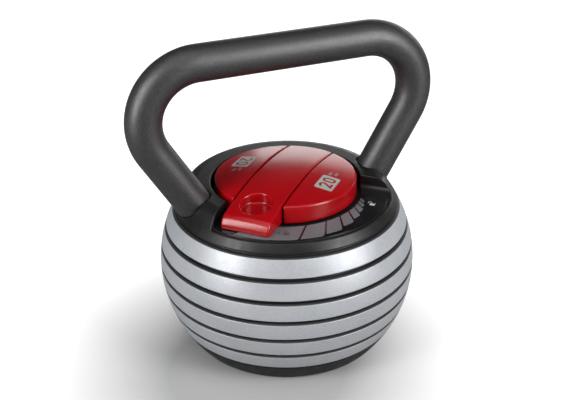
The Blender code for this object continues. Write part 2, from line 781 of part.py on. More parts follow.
def make_dial():
    """Everything that turns with the lever, about the ball's axis."""
    axis = bpy.data.objects.new("dial_axis", None)
    PARTS.objects.link(axis)
    carrier_top = CARRIER_Z + CARRIER_THICKNESS
    washer_top = carrier_top + 0.0015
    pieces = [
        lever_bar(),
        dial_segment(-1, "dial_segment_right"),
        dial_segment(1, "dial_segment_left"),
        dial_carrier(),
        drive_hub(),
        washer("shaft_washer", SHAFT_BOLT_RADIUS + 2 * GAP, 0.0095, carrier_top + GAP, washer_top, 16),
        screw("shaft_bolt", (0.0, 0.0), SHAFT_BOLT_TIP_Z, washer_top + GAP, SHAFT_BOLT_RADIUS,
              0.0075, 0.0050),
    ]
    for number, place in enumerate(dial_screw_places(), start=1):
        pieces.append(screw(f"dial_screw_{number}", place, DIAL_SCREW_TIP_Z, CARRIER_Z - GAP,
                            SCREW_RADIUS, SCREW_HEAD_RADIUS, -SCREW_HEAD_HEIGHT))
    helpers = [thing for thing in CUTTERS.objects if thing.name.startswith(DIAL_CUTTERS)]
    for thing in pieces + helpers:
        thing.parent = axis
    axis.rotation_euler.z = LOCK_ANGLE
    lock_shaft()


def make_plates():
    for number in range(1, PLATE_COUNT + 1):
        weight_plate(number)


make_base()
make_plates()
make_cover()
make_handle()
make_dial()
washer("thrust_washer", SHAFT_BORE, 0.0200, CHASSIS_Z + CHASSIS_THICKNESS + GAP, SHAFT_SHOULDER_Z)
bpy.context.view_layer.update()
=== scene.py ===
import functools
import math

import bmesh
import bpy
import numpy as np
from mathutils import Matrix, Quaternion, Vector


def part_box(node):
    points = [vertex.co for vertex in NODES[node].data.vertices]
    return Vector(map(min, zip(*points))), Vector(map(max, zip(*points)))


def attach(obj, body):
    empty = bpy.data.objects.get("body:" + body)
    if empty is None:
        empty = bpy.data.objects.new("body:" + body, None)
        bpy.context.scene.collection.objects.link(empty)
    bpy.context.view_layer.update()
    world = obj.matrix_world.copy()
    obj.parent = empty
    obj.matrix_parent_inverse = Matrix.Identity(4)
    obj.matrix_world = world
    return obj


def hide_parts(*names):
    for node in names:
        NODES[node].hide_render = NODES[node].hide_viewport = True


# Looks of the adjustable kettlebell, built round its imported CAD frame. Metres, +Z up. The
# origin is under the ball's middle at floor level, and the handle lies in the XZ plane. The
# dial's own axes are turned by the lever's locked angle: "along" the lever and "across" it.

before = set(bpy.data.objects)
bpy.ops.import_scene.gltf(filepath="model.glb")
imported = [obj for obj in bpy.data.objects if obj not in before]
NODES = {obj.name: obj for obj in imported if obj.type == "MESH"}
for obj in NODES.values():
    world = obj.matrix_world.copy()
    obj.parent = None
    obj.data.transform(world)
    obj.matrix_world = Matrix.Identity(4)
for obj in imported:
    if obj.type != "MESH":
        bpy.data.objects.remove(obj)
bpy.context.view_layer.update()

GAP = 0.0003
SIDES = ((-1, "left"), (1, "right"))

# Ball and weight plates
BALL_RADIUS = 0.1175
BALL_CENTRE_Z = 0.0760
PLATE_COUNT = 6
PLATE_PITCH = 0.0188
BAND_HEIGHT = 0.0148
GROOVE_DEPTH = 0.0060
RIM_THICKNESS = 0.0018
WEB_THICKNESS = 0.0012
BAND_EDGE = 0.0007
HUB_RADIUS = 0.0300
HUB_BORE = 0.0250
FLANGE_THICKNESS = 0.0030
SHAFT_BORE = 0.0127
SLOT_SIZE = (0.0450, 0.0195)
KEY_SIZE = (0.0030, 0.0060, 0.0020)
PLATE_SEGMENTS = 180

# Base
TRAY_FLOOR_Z = 0.0045
TRAY_WALL = 0.0040
TRAY_BOSS_BORE = 0.0240
TRAY_BOSS_RADIUS = 0.0345
TRAY_BOSS_TOP_Z = 0.0137
BASE_SCREW_CIRCLE = 0.0292
FOOT_INNER_RADIUS = 0.0700
FOOT_OUTER_RADIUS = 0.0860
FOOT_HEIGHT = 0.0025
FOOT_RIBS = 3
RIB_GROOVE = 0.0008
SCREW_HOLE_RADIUS = 0.0018

# Top cover
FLOOR_UNDERSIDE_Z = 0.1386
FLOOR_Z = 0.1415
WELL_FLOOR_Z = 0.1421
RECESS_RADIUS = 0.0678
FLOOR_BORE = 0.0500
CHASSIS_ROOM = 0.0968
WELL_BACK = -0.0305          # the well's end wall, along the lever
WELL_SIDE = -0.0293          # the well's side wall, across the lever
WELL_CORNER = 0.0055
RAMP_START = -0.0180
RAMP_RISE = 0.0027
WELL_FILLET = 0.0032
CREST_EDGE = 0.0050
CREST_LIP = 0.0013
LIP_GROOVE = (0.0936, 0.0962)
LIP_GROOVE_DEPTH = 0.0009
LIP_GROOVE_FADE = 0.0100
CORE_RADII = (0.0715, 0.0860)
CORE_ANGLES = (math.radians(25), math.radians(155))
COVER_SCREW_CIRCLE = 0.0800
COVER_POST_ANGLES = (math.radians(40), math.radians(80), math.radians(120))
COVER_POST_RADIUS = 0.0045
COVER_ROOF = 0.0030

# Dial
LOCK_ANGLE = math.radians(-136)
LOCK_COS, LOCK_SIN = math.cos(LOCK_ANGLE), math.sin(LOCK_ANGLE)
DIAL_RADIUS = 0.0642
DIAL_TOP_Z = 0.1653
DIAL_DROP = 0.0065
SKIRT_Z = 0.1432
SHELL_THICKNESS = 0.0026
GROOVE_CENTRE = 0.0224
GROOVE_WIDTH = 0.0015
ARM_LENGTH = 0.0870
ARM_FLARE = 0.0006
ARM_HOLLOW_END = 0.0420
NOSE_EDGE = 0.0072
LEVER_EDGE = 0.0015
GROOVE_EDGE = 0.0010
DIAL_EDGE = 0.0020
FINGER_CENTRE = 0.0620
FINGER_RADIUS = 0.0143
FINGER_FLOOR_Z = 0.1512
FINGER_DISH = 0.0010
FINGER_FILLET = 0.0016
CARRIER_ROOM = (0.0608, 0.1483)
DIAL_POST_RADIUS = 0.0040
DIAL_SCREW_TIP_Z = 0.1550
MOULD_GRID = 0.00070
MOULD_SPARE = 0.0008

# Badges
BADGE_SIZE = (0.0235, 0.0165)
BADGE_CORNER = 0.0018
BADGE_PLACES = (("a", (0.0080, 0.0437), math.pi), ("b", (-0.0045, -0.0433), 0.0))
DIGIT_SIZE = (0.0076, 0.0122)
DIGIT_WEIGHT = 0.0022
DIGIT_SPACE = 0.0018
DIGIT_ROUNDING = 0.48        # a zero's corner radius, as a share of its width
UNIT_GAP = 0.0026
TICK_PITCH = 0.0021
TICK_SIZE = (TICK_PITCH * 0.62, 0.0030)
TICK_ROW_HEIGHTS = (0.0036, -0.0014)

# Scale
SCALE_TOP_Z = 0.1426
SCALE_RADII = (0.0684, 0.0934)
PRINT_THICKNESS = 0.00010
PRINT_SINK = 0.00002
DIAL_PRINT_LIFT = 0.00003
LEGEND_THICKNESS = 0.00008
LEGEND_SINK = 0.00004
BLOCK_FIRST_TURN = math.radians(-134)
BLOCK_LOCK_END = math.radians(-98)
BLOCK_STEP = math.radians(15.7)
BLOCK_SHRINK = 0.80
BLOCK_COUNT = 8
BLOCK_INNER_RADIUS = 0.0690
BLOCK_OUTER_RADII = (0.0920, 0.0912, 0.0886, 0.0846, 0.0812, 0.0782, 0.0757, 0.0738)
BLOCK_LEAN = math.radians(330)           # radians a metre
BLOCK_LEAN_GROWTH = math.radians(75)
BLOCK_SEPARATOR = 0.0019
LOCK_MARK = (0.0800, math.radians(-116.8))
UNLOCK_MARK = (0.0820, math.radians(-42.6))
ARROW = ((-0.0017, 0.0), (0.0013, 0.0015), (0.0013, -0.0015))
PADLOCK_TURN = math.radians(4.6)         # from the arrow to the shut padlock
PADLOCK_SIZES = (0.0048, 0.0046)         # shut, open

# Handle
TUBE_RADIUS = 0.0160
TUBE_BORE = 0.0138
TUBE_EDGE = 0.0006
FOOT_X = 0.0874
FOOT_Z = 0.1474
LEG_ANGLE = math.radians(30.9)
BEND_START_X = 0.1198
BEND_RADIUS = 0.0493
TUBE_SIDES = 72
TUBE_STEP = 0.0030
SPIGOT_RADIUS = 0.0130
SPIGOT_REACH = 0.0300
PAD_RADIUS = 0.0171
PAD_DEPTH = 0.0140
FOOT_ROOM = 0.0013


# Materials

def set_range(node, low, high, first, last):
    ends = {"From Min": low, "From Max": high, "To Min": first, "To Max": last}
    for key, number in ends.items():
        node.inputs[key].default_value = number


class Look:
    """A node material, with short calls for the nodes that feed its Principled shader."""

    def __init__(self, name, colour, roughness, metallic=0.0):
        self.surface = bpy.data.materials.new(name)
        self.surface.use_nodes = True
        self.tree = self.surface.node_tree
        self.shader = self.tree.nodes["Principled BSDF"]
        self.place = self.add("TexCoord").outputs["Object"]
        self.set("Base Color", (*colour, 1.0))
        self.set("Roughness", roughness)
        self.set("Metallic", metallic)

    def add(self, kind, **values):
        node = self.tree.nodes.new("ShaderNode" + kind)
        for key, value in values.items():
            setattr(node, key, value)
        return node

    def link(self, start, end):
        self.tree.links.new(start, end)

    def set(self, socket, value):
        self.shader.inputs[socket].default_value = value

    def noise(self, size, detail=2.0, stretch=(1.0, 1.0, 1.0)):
        """Noise whose features are about a size across."""
        scaled = self.add("Mapping")
        scaled.inputs["Scale"].default_value = stretch
        self.link(self.place, scaled.inputs["Vector"])
        node = self.add("TexNoise")
        node.inputs["Scale"].default_value = 1.0 / size
        node.inputs["Detail"].default_value = detail
        self.link(scaled.outputs["Vector"], node.inputs["Vector"])
        return node.outputs["Fac"]

    def ramp(self, value, low, high, first, last):
        """A value stretched between two ends, clamped."""
        node = self.add("MapRange")
        set_range(node, low, high, first, last)
        self.link(value, node.inputs["Value"])
        return node.outputs["Result"]

    def blend(self, share, first, second):
        """Two colours, or colour sockets, mixed by a share."""
        node = self.add("Mix", data_type="RGBA")
        self.link(share, node.inputs["Factor"])
        for slot, colour in ((6, first), (7, second)):
            if isinstance(colour, tuple):
                node.inputs[slot].default_value = (*colour, 1.0)
            else:
                self.link(colour, node.inputs[slot])
        return node.outputs[2]

    def bump(self, *layers):
        """Bump from (height socket, strength, depth) layers, laid one over the other."""
        normal = None
        for height, strength, depth in layers:
            node = self.add("Bump")
            node.inputs["Strength"].default_value = strength
            node.inputs["Distance"].default_value = depth
            self.link(height, node.inputs["Height"])
            if normal is not None:
                self.link(normal, node.inputs["Normal"])
            normal = node.outputs["Normal"]
        self.feed("Normal", normal)

    def attribute(self, name):
        node = self.add("Attribute", attribute_type="GEOMETRY", attribute_name=name)
        return node.outputs["Fac"]

    def feed(self, socket, source):
        self.link(source, self.shader.inputs[socket])

    def mottle(self, size, detail, low=0.35, high=0.65):
        """Noise stretched to run from 0 to 1."""
        return self.ramp(self.noise(size, detail), low, high, 0.0, 1.0)

    def tones(self, size, detail, first, second):
        """A base colour that wanders between two tones."""
        self.feed("Base Color", self.blend(self.mottle(size, detail), first, second))

    def sheen(self, size, detail, first, last, high=0.7):
        """A roughness that wanders between two values."""
        self.feed("Roughness", self.ramp(self.noise(size, detail), 0.3, high, first, last))


def silver_paint():
    look = Look("silver_paint", (0.36, 0.375, 0.39), 0.42, 0.32)
    cloud = look.mottle(0.030, 3.0)
    flake = look.mottle(0.0007, 1.0, 0.30, 0.70)
    body = look.blend(cloud, (0.305, 0.330, 0.360), (0.365, 0.380, 0.398))
    flecked = look.blend(flake, body, (0.450, 0.458, 0.475))
    # painted shade: the grooves between the bands, and all of the casting below the ball's skin,
    # are darkened nearly to black
    dark = look.attribute("recess")
    flecked = look.blend(dark, flecked, (0.022, 0.022, 0.024))
    worn = look.ramp(look.attribute("edge"), 0.2, 1.0, 0.0, 0.12)
    look.feed("Base Color", look.blend(worn, flecked, (0.80, 0.81, 0.82)))
    look.sheen(0.012, 4.0, 0.39, 0.50)
    look.bump((look.noise(0.0014, 2.0), 0.07, 0.0002))
    return look.surface


def hammered_black():
    look = Look("textured_black_paint", (0.012, 0.012, 0.013), 0.42)
    look.set("Specular IOR Level", 0.85)
    fine = look.noise(0.0009, 3.0)
    spark = look.ramp(fine, 0.50, 0.72, 0.0, 1.0)
    patch = look.mottle(0.040, 2.0)
    body = look.blend(patch, (0.0055, 0.0052, 0.0062), (0.0080, 0.0076, 0.0090))
    look.feed("Base Color", look.blend(spark, body, (0.040, 0.038, 0.043)))
    look.sheen(0.004, 2.0, 0.43, 0.51)
    look.bump((fine, 0.36, 0.00025), (look.noise(0.0018, 1.0), 0.14, 0.0003))
    return look.surface


def satin_black(name, specular):
    look = Look(name, (0.008, 0.008, 0.0085), 0.36)
    look.set("Specular IOR Level", specular)
    look.tones(0.025, 3.0, (0.0060, 0.0060, 0.0064), (0.0095, 0.0095, 0.0102))
    look.sheen(0.006, 3.0, 0.34, 0.46)
    look.bump((look.noise(0.0006, 2.0), 0.16, 0.00012))
    return look.surface


def gloss_black():
    look = Look("gloss_black_plastic", (0.006, 0.006, 0.0065), 0.12)
    look.tones(0.020, 2.0, (0.005, 0.005, 0.0055), (0.008, 0.008, 0.009))
    look.sheen(0.003, 4.0, 0.08, 0.18, 0.75)
    look.bump((look.noise(0.010, 1.0), 0.04, 0.0004))
    return look.surface


def red_gloss():
    look = Look("red_plastic", (0.27, 0.0016, 0.0038), 0.22)
    look.set("Specular IOR Level", 0.42)
    look.tones(0.030, 3.0, (0.270, 0.0010, 0.0030), (0.305, 0.0016, 0.0042))
    look.sheen(0.012, 2.0, 0.20, 0.25, 0.75)
    look.bump((look.noise(0.0008, 2.0), 0.02, 0.00004))
    return look.surface


def printed(name, colour, other):
    look = Look(name, colour, 0.38)
    look.tones(0.0008, 3.0, colour, other)
    look.sheen(0.002, 2.0, 0.32, 0.44)
    look.bump((look.noise(0.0005, 1.0), 0.06, 0.00005))
    return look.surface


def zinc_steel():
    look = Look("zinc_plated_steel", (0.55, 0.56, 0.58), 0.35, 1.0)
    look.tones(0.003, 4.0, (0.50, 0.51, 0.53), (0.61, 0.61, 0.60))
    look.sheen(0.002, 2.0, 0.28, 0.42)
    look.bump((look.noise(0.0005, 2.0, (1.0, 1.0, 0.15)), 0.10, 0.0001))
    return look.surface


def black_rubber():
    look = Look("black_rubber", (0.020, 0.020, 0.020), 0.80)
    look.tones(0.004, 3.0, (0.016, 0.016, 0.016), (0.026, 0.026, 0.025))
    look.sheen(0.002, 3.0, 0.72, 0.88)
    look.bump((look.noise(0.0008, 2.0), 0.25, 0.0002))
    return look.surface


SILVER = silver_paint()
GRIP = hammered_black()
COVER_BLACK = satin_black("satin_black_plastic", 0.36)
TRAY_BLACK = satin_black("dull_black_plastic", 0.15)
GLOSS_BLACK = gloss_black()
RED = red_gloss()
SCALE_SILVER = printed("scale_silver", (0.105, 0.106, 0.114), (0.130, 0.131, 0.140))
BADGE_GREY = printed("badge_grey", (0.24, 0.30, 0.285), (0.29, 0.35, 0.335))
MARK_WHITE = printed("mark_white", (0.40, 0.40, 0.42), (0.48, 0.48, 0.50))
FAINT_GREY = printed("faint_grey", (0.16, 0.13, 0.13), (0.20, 0.16, 0.16))
LEGEND_DARK = printed("legend_dark", (0.045, 0.040, 0.042), (0.065, 0.060, 0.062))
STEEL = zinc_steel()
RUBBER = black_rubber()


# Shapes by distance: every function gives how far a point is outside a solid

def cut_round(first, second, radius):
    """What two solids share, with the edge between them rounded."""
    u = np.maximum(first + radius, 0.0)
    v = np.maximum(second + radius, 0.0)
    return np.minimum(np.maximum(first, second), -radius) + np.hypot(u, v)


def join_round(first, second, radius):
    """Two solids as one, with the corner between them filled."""
    return -cut_round(-first, -second, radius)


def cut_sharp(*solids):
    """What several solids share, with sharp edges."""
    return functools.reduce(np.maximum, solids)


def rod(x, y, centre, radius):
    """An endless upright rod."""
    return np.hypot(x - centre[0], y - centre[1]) - radius


def dial_axes(x, y):
    """Distances along and across the locked lever."""
    return x * LOCK_COS + y * LOCK_SIN, y * LOCK_COS - x * LOCK_SIN


def from_dial(along, across):
    return along * LOCK_COS - across * LOCK_SIN, along * LOCK_SIN + across * LOCK_COS


def polar(radius, turn):
    return radius * math.cos(turn), radius * math.sin(turn)


def slope(distance, points, step=0.00004):
    """How the distance grows at points, by central differences."""
    rows = []
    for axis in range(3):
        move = np.zeros(3)
        move[axis] = step
        rows.append((distance(*(points + move).T) - distance(*(points - move).T)) / (2 * step))
    return np.stack(rows, -1)


def skin(name, distance, axes, placed, wrap=False):
    """Mesh a solid's skin on a grid whose spacing may vary; wrap closes the first axis.

    Each grid cell that the skin crosses gets a vertex, which is then moved onto the skin, and
    each grid edge that it crosses gets a face between the four cells round it.
    """
    axes = [np.asarray(axis, float) for axis in axes]
    value = distance(*placed(*np.meshgrid(*axes, indexing="ij")))
    if wrap:
        value = np.concatenate([value, value[:1]])
        axes[0] = np.append(axes[0], axes[0][0] + math.tau)
    inside = value < 0
    cells_each = np.array(value.shape) - 1
    corners = [(a, b, c) for a in (0, 1) for b in (0, 1) for c in (0, 1)]
    size_a, size_b, size_c = cells_each
    count = sum(inside[a:a + size_a, b:b + size_b, c:c + size_c].astype(np.int8)
                for a, b, c in corners)
    cells = np.argwhere((count > 0) & (count < 8))
    total = np.zeros((len(cells), 3))
    hits = np.zeros(len(cells))
    for corner in corners:
        for axis in range(3):
            if corner[axis]:
                continue
            other = tuple(c + (n == axis) for n, c in enumerate(corner))
            start = value[tuple((cells + corner).T)]
            end = value[tuple((cells + other).T)]
            crossed = (start < 0) != (end < 0)
            share = np.where(crossed, start / np.where(crossed, start - end, 1.0), 0.0)
            point = cells + np.array(corner, float)
            point[:, axis] += share
            total += point * crossed[:, None]
            hits += crossed
    middle = total / hits[:, None]
    along = [np.interp(middle[:, n], np.arange(len(axes[n])), axes[n]) for n in range(3)]
    points = np.stack(placed(*along), -1)
    for _ in range(4):
        grow = slope(distance, points)
        size = np.maximum((grow ** 2).sum(-1), 0.25)
        step = np.clip(distance(*points.T) / size, -0.0004, 0.0004)
        points -= grow * step[:, None]
    grow = slope(distance, points)
    normals = grow / np.maximum(np.linalg.norm(grow, axis=-1, keepdims=True), 1e-9)

    number = np.full(cells_each, -1)
    number[tuple(cells.T)] = np.arange(len(cells))
    faces = []
    for axis in range(3):
        near = [slice(None)] * 3
        far = [slice(None)] * 3
        near[axis], far[axis] = slice(0, -1), slice(1, None)
        edges = np.argwhere(inside[tuple(near)] != inside[tuple(far)])
        across, up = (axis + 1) % 3, (axis + 2) % 3
        keep = np.ones(len(edges), bool)
        for side in (across, up):
            keep &= edges[:, side] < cells_each[side]
            if not (wrap and side == 0):
                keep &= edges[:, side] > 0
        edges = edges[keep]
        ring = []
        for back_across, back_up in ((1, 1), (0, 1), (0, 0), (1, 0)):
            cell = edges.copy()
            cell[:, across] -= back_across
            cell[:, up] -= back_up
            if wrap:
                cell[:, 0] %= cells_each[0]
            ring.append(number[tuple(cell.T)])
        quad = np.stack(ring, -1)
        leaving = inside[tuple(edges.T)]
        quad[~leaving] = quad[~leaving][:, ::-1]
        faces.append(quad)
    return mesh_object(name, points, facing(np.concatenate(faces), points, normals), normals)


# Mesh helpers

def facing(faces, points, normals):
    """Four-cornered faces, all turned over if they face against the normals."""
    a, b, c, d = (points[faces[:, n]] for n in range(4))
    agree = np.einsum("ij,ij->i", np.cross(c - a, d - b), normals[faces[:, 0]])
    return faces[:, ::-1] if np.median(agree) < 0 else faces


def mesh_object(name, points, faces, normals=None):
    mesh = bpy.data.meshes.new(name)
    mesh.from_pydata(np.asarray(points).tolist(), [], np.asarray(faces).tolist())
    mesh.update()
    mesh.shade_smooth()
    if normals is not None:
        mesh.normals_split_custom_set_from_vertices(np.asarray(normals).tolist())
    return placed_object(name, mesh)


def placed_object(name, data):
    thing = bpy.data.objects.new(name, data)
    bpy.context.scene.collection.objects.link(thing)
    return thing


def object_of(name, shape):
    """A thing made of a bmesh, which is used up."""
    mesh = bpy.data.meshes.new(name)
    shape.to_mesh(mesh)
    shape.free()
    return placed_object(name, mesh)


def piece(thing, body, replaced, surface):
    """Give a piece its body, the nodes it stands for and its material."""
    thing.data.materials.clear()
    thing.data.materials.append(surface)
    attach(thing, body)
    if replaced:
        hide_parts(*replaced)


def spread(start, *runs):
    """Grid coordinates from a start through runs of (end, spacing)."""
    values = [start]
    for end, spacing in runs:
        steps = max(1, round((end - values[-1]) / spacing))
        values.extend(np.linspace(values[-1], end, steps + 1)[1:])
    return np.array(values)


def rounded(corners, steps=5):
    """An outline through corners (x, y, radius), each rounded by an arc of its radius."""
    outline = []
    for number, (x, y, radius) in enumerate(corners):
        here = np.array((x, y))
        back = np.array(corners[number - 1][:2]) - here
        front = np.array(corners[(number + 1) % len(corners)][:2]) - here
        back /= np.linalg.norm(back)
        front /= np.linalg.norm(front)
        opening = math.acos(max(-1.0, min(1.0, float(back @ front))))
        if radius <= 0 or opening > math.radians(178):
            outline.append((x, y))
            continue
        inward = (back + front) / np.linalg.norm(back + front)
        centre = here + inward * radius / math.sin(opening / 2)
        reach = radius / math.tan(opening / 2)
        first = here + back * reach - centre
        last = here + front * reach - centre
        start = math.atan2(first[1], first[0])
        turn = (math.atan2(last[1], last[0]) - start + math.pi) % math.tau - math.pi
        for step in range(steps + 1):
            x, y = polar(radius, start + turn * step / steps)
            outline.append((centre[0] + x, centre[1] + y))
    return outline


def revolve(name, corners, segments):
    """Turn a closed (radius, height, rounding) outline about the ball's axis."""
    outline = np.array(rounded(corners))
    turns = np.arange(segments) * math.tau / segments
    points = np.stack([outline[:, :1] * np.cos(turns), outline[:, :1] * np.sin(turns),
                       np.repeat(outline[:, 1:], segments, 1)], -1)
    count = len(outline)
    ring = np.arange(count * segments).reshape(count, segments)
    down = np.roll(ring, -1, 0)
    faces = np.stack([ring, np.roll(ring, -1, 1), np.roll(down, -1, 1), down], -1)
    thing = mesh_object(name, points.reshape(-1, 3), faces.reshape(-1, 4))
    tidy_mesh(thing)
    return thing


def tidy_mesh(thing):
    """Weld, drop faces with no area and turn all faces outwards."""
    shape = bmesh.new()
    shape.from_mesh(thing.data)
    bmesh.ops.remove_doubles(shape, verts=shape.verts, dist=1e-7)
    bmesh.ops.dissolve_degenerate(shape, edges=shape.edges, dist=1e-7)
    bmesh.ops.recalc_face_normals(shape, faces=shape.faces)
    shape.to_mesh(thing.data)
    shape.free()


def box(name, place, size, low, high, turn):
    """An upright block, at a distance from the ball's axis along a turned X axis."""
    shape = bmesh.new()
    middle = Matrix.Translation((place, 0.0, (low + high) / 2))
    matrix = Matrix.Rotation(turn, 4, "Z") @ middle @ Matrix.Diagonal((*size, high - low, 1.0))
    bmesh.ops.create_cube(shape, size=1.0, matrix=matrix)
    return object_of(name, shape)


def peg(name, place, radius, low, high):
    shape = bmesh.new()
    bmesh.ops.create_cone(shape, cap_ends=True, segments=24, radius1=radius, radius2=radius,
                          depth=high - low, matrix=Matrix.Translation((*place, (low + high) / 2)))
    return object_of(name, shape)


def combine(thing, *steps):
    """Boolean (operation, cutter) steps into a thing, and keep only the result."""
    for operation, other in steps:
        step = thing.modifiers.new(operation.lower(), "BOOLEAN")
        step.operation = operation
        step.solver = "EXACT"
        step.object = other
    keep_result(thing)
    for _, other in steps:
        bpy.data.objects.remove(other, do_unlink=True)


def modified_mesh(thing):
    """The mesh of a thing as its modifiers or its curve settings make it."""
    graph = bpy.context.evaluated_depsgraph_get()
    graph.update()
    return bpy.data.meshes.new_from_object(thing.evaluated_get(graph))


def keep_result(thing):
    """Replace a thing's mesh by what its modifiers make of it."""
    mesh = modified_mesh(thing)
    thing.modifiers.clear()
    thing.data = mesh


def smooth(thing, angle=math.radians(32)):
    """Smooth shading that keeps flat faces flat beside their rounded edges."""
    thing.data.shade_smooth()
    thing.data.set_sharp_from_angle(angle=angle)
    weigh = thing.modifiers.new("weigh", "WEIGHTED_NORMAL")
    weigh.keep_sharp = True
    keep_result(thing)
    return thing


def mark_edges(thing, wear_and_shade):
    """Store how worn each vertex is, and how deep in a groove it lies, which the silver paint
    darkens as painted shade; both from its radius and height.
    """
    points = np.zeros(len(thing.data.vertices) * 3)
    thing.data.vertices.foreach_get("co", points)
    x, y, z = points.reshape(-1, 3).T
    for name, values in zip(("edge", "recess"), wear_and_shade(np.hypot(x, y), z)):
        layer = thing.data.attributes.new(name, "FLOAT", "POINT")
        layer.data.foreach_set("value", values.astype(np.float32))


def flat_piece(name, outlines, bottom, top, edge=0.0):
    """Filled outlines with a thickness and a rounded edge; those inside others are holes."""
    curve = bpy.data.curves.new(name, "CURVE")
    curve.dimensions = "2D"
    curve.fill_mode = "BOTH"
    curve.extrude = (top - bottom) / 2 - edge
    curve.bevel_depth = edge
    curve.bevel_resolution = 2
    curve.offset = -edge
    for outline in outlines:
        spline = curve.splines.new("POLY")
        spline.points.add(len(outline) - 1)
        for point, (x, y) in zip(spline.points, outline):
            point.co = (x, y, 0.0, 1.0)
        spline.use_cyclic_u = True
    thing = placed_object(name, curve)
    mesh = modified_mesh(thing)
    bpy.data.objects.remove(thing, do_unlink=True)
    mesh.transform(Matrix.Translation((0.0, 0.0, (bottom + top) / 2)))
    flat = placed_object(name, mesh)
    tidy_mesh(flat)
    return flat


def sphere_radius(height):
    return math.sqrt(BALL_RADIUS ** 2 - (height - BALL_CENTRE_Z) ** 2)


def arc(radius, start, end, steps, centre=(0.0, 0.0)):
    spots = [polar(radius, start + (end - start) * n / steps) for n in range(steps + 1)]
    return [(centre[0] + x, centre[1] + y) for x, y in spots]


def arc_between(radius, start, end, steps):
    """Plain corners along an arc about the ball's axis, without its two ends."""
    return [(*spot, 0.0) for spot in arc(radius, start, end, steps)[1:-1]]


# Weight plates

def band_side(low, high, steps, low_edge, high_edge):
    """Corners down the ball's surface between two heights, its two edges rounded."""
    heights = [low + (high - low) * n / steps for n in range(steps, -1, -1)]
    edges = [high_edge] + [0.0] * (steps - 1) + [low_edge]
    return [(sphere_radius(height), height, edge) for height, edge in zip(heights, edges)]


def weight_plate(number):
    name = f"weight_plate_{number}"
    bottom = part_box(name)[0].z
    top = bottom + PLATE_PITCH - GAP
    band_top = bottom + BAND_HEIGHT
    neck = min(sphere_radius(bottom), sphere_radius(band_top)) - GROOVE_DEPTH
    corners = [
        (neck, top, 0.0004),
        (neck, band_top, 0.0006),
        *band_side(bottom, band_top, 6, BAND_EDGE, BAND_EDGE),
        (HUB_BORE, bottom, 0.0003),
        (HUB_BORE, top - FLANGE_THICKNESS, 0.0),
        (SHAFT_BORE, top - FLANGE_THICKNESS, 0.0003),
        (SHAFT_BORE, top, 0.0003),
        (HUB_RADIUS, top, 0.0004),
        (HUB_RADIUS, bottom + WEB_THICKNESS, 0.0010),
        (neck - RIM_THICKNESS, bottom + WEB_THICKNESS, 0.0010),
        (neck - RIM_THICKNESS, top, 0.0004),
    ]
    plate = revolve(name + "_casting", corners, PLATE_SEGMENTS)
    spare = 0.001
    slot = box("slot", 0.0, SLOT_SIZE, top - FLANGE_THICKNESS - spare, top + spare,
               LOCK_ANGLE + math.pi / 2)
    middle = (HUB_BORE + HUB_RADIUS) / 2
    depth, width, height = KEY_SIZE
    notch = box("notch", middle, (depth + 2 * GAP, width + 2 * GAP), bottom - spare,
                bottom + height + GAP, LOCK_ANGLE)
    steps = [("DIFFERENCE", slot), ("DIFFERENCE", notch)]
    if number > 1:
        key = box("key", middle, (depth, width), top - spare, top + height, LOCK_ANGLE)
        steps.append(("UNION", key))
    combine(plate, *steps)
    smooth(plate)

    def wear_and_shade(radius, z):
        skin_depth = np.hypot(radius, z - BALL_CENTRE_Z) - BALL_RADIUS
        near_top = np.clip(1 - np.abs(z - band_top) / BAND_EDGE, 0, 1)
        near_bottom = np.clip(1 - np.abs(z - bottom) / BAND_EDGE, 0, 1)
        worn = np.where(skin_depth > -0.0012, np.maximum(near_top, near_bottom), 0.0)
        # the second value is the painted-shade mask: it rises to one a little below the ball's
        # skin
        return worn, np.clip((-skin_depth - 0.00012) / 0.00025, 0, 1)

    mark_edges(plate, wear_and_shade)
    piece(plate, "bell", [name], SILVER)


# Base

def base_tray():
    low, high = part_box("base_tray")
    bottom, top = low.z, high.z
    foot_top = FOOT_HEIGHT + GAP
    side_low = bottom + 0.001
    side_radius = sphere_radius(side_low)
    corners = [
        (0.0, TRAY_FLOOR_Z, 0.0),
        (TRAY_BOSS_BORE, TRAY_FLOOR_Z, 0.0006),
        (TRAY_BOSS_BORE, TRAY_BOSS_TOP_Z, 0.0003),
        (TRAY_BOSS_RADIUS, TRAY_BOSS_TOP_Z, 0.0003),
        (TRAY_BOSS_RADIUS, TRAY_FLOOR_Z, 0.0008),
        (side_radius - 2 * TRAY_WALL, TRAY_FLOOR_Z, 0.0020),
        (sphere_radius(top) - TRAY_WALL, top, 0.0005),
        *band_side(side_low, top, 8, 0.0008, 0.0010),
        (side_radius - 0.0012, bottom, 0.0004),
        (FOOT_OUTER_RADIUS, bottom, 0.0002),
        (FOOT_OUTER_RADIUS, foot_top, 0.0),
        (FOOT_INNER_RADIUS, foot_top, 0.0),
        (FOOT_INNER_RADIUS, bottom, 0.0002),
        (0.0, bottom, 0.0),
    ]
    tray = revolve("base_tray_moulding", corners, PLATE_SEGMENTS)
    turns = [LOCK_ANGLE + math.radians(45 + 90 * quarter) for quarter in range(4)]
    holes = [peg("hole", polar(BASE_SCREW_CIRCLE, turn), SCREW_HOLE_RADIUS, 0.0060, 0.0150)
             for turn in turns]
    combine(tray, *[("DIFFERENCE", hole) for hole in holes])
    smooth(tray)
    piece(tray, "bell", ["base_tray"], TRAY_BLACK)


